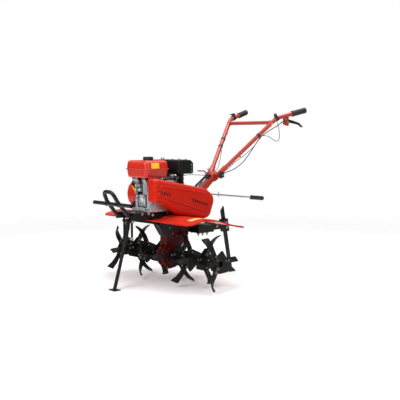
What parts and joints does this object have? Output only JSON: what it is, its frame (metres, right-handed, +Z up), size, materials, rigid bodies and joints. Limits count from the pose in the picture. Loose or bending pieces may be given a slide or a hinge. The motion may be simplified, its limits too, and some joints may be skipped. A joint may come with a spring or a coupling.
{
  "type": "rotary tiller",
  "caption": "Walk-behind rotary tiller with a petrol engine, belt cover, bladed rotor, arched fender, folding front stand, depth stake and forked handlebar.",
  "frame": {"origin": "on the floor under the middle of the machine's box", "axes": "+X forwards, away from the handlebar; +Y to the machine's left; +Z up"},
  "size_m": [1.4688, 1.124, 1.1389],
  "materials": {
    "red_enamel": "glossy stove enamel",
    "dark_red_enamel": "semi-gloss enamel on pressed steel",
    "black_enamel": "satin black enamel",
    "tine_black": "dipped satin black paint on forged steel",
    "cast_aluminium": "die-cast, slightly rough",
    "bright_steel": "zinc plated",
    "heat_black": "matt heat-resistant black",
    "black_plastic": "moulded, fine grain",
    "black_rubber": "moulded, ribbed",
    "cable_sheath": "smooth extruded sheath"
  },
  "bodies": {
    "chassis": {"main_frame": "black_enamel", "chain_case_left": "dark_red_enamel", "chain_case_right": "dark_red_enamel", "front_strut": "black_enamel", "front_bumper": "black_enamel", "fender": "red_enamel", "gearbox": "cast_aluminium", "belt_cover": "red_enamel", "belt_cover_back": "black_enamel", "engine_block": "cast_aluminium", "engine_cylinder": "cast_aluminium", "rocker_cover": "bright_steel", "fan_housing": "red_enamel", "recoil_starter": "red_enamel", "recoil_handle": "black_plastic", "fuel_tank": "red_enamel", "fuel_cap": "black_plastic", "tank_mounts": "bright_steel", "muffler": "heat_black", "exhaust_elbow": "bright_steel", "air_cleaner": "black_plastic", "carburettor": "cast_aluminium", "handle_base": "red_enamel", "clamp_knob": "black_plastic", "clamp_lever": "bright_steel", "gear_lever": "bright_steel", "gear_lever_grip": "black_rubber", "hitch_box": "black_enamel", "hitch_arm": "black_enamel", "stand_bracket": "black_enamel", "case_gussets": "black_enamel", "base_cable_guide": "black_plastic", "clutch_cable_lower": "cable_sheath", "fender_brackets": "black_enamel", "throttle_cable_lower": "cable_sheath"},
    "handlebar_arms": {"handlebar": "red_enamel", "grip_left": "black_rubber", "grip_right": "black_rubber", "clutch_bracket": "red_enamel", "clutch_lever": "black_plastic", "throttle_lever": "black_plastic", "stop_switch": "black_plastic", "cable_clips": "black_plastic", "cable_guides": "black_plastic", "clutch_cable_upper": "cable_sheath", "switch_wire": "cable_sheath", "throttle_cable_upper": "cable_sheath"},
    "tine_rotor": {"rotor_shaft": "bright_steel", "rotor_hub_left": "tine_black", "rotor_hub_right": "tine_black", "tines_outer_left": "tine_black", "tines_second_left": "tine_black", "tines_third_left": "tine_black", "tines_inner_left": "tine_black", "tines_outer_right": "tine_black", "tines_second_right": "tine_black", "tines_third_right": "tine_black", "tines_inner_right": "tine_black"},
    "stake": {"drag_stake": "black_enamel"},
    "stand": {"front_stand": "black_enamel"}
  },
  "joints": [
    {"name": "rotor_spin", "type": "hinge", "parent": "chassis", "child": "tine_rotor", "pos_m": [0.254, 0, 0.1755], "axis": [0, 1, 0], "continuous": true},
    {"name": "handlebar_tilt", "type": "hinge", "parent": "chassis", "child": "handlebar_arms", "pos_m": [-0.133, 0, 0.68], "axis": [0, 1, 0], "range_deg": [-25, 30]},
    {"name": "stake_depth", "type": "slide", "parent": "chassis", "child": "stake", "axis": [0.184, 0, 0.9829], "range_m": [-0.05, 0.06]},
    {"name": "stand_fold", "type": "hinge", "parent": "chassis", "child": "stand", "pos_m": [0.576, 0, 0.418], "axis": [0, 1, 0], "range_deg": [-95, 0]}
  ]
}
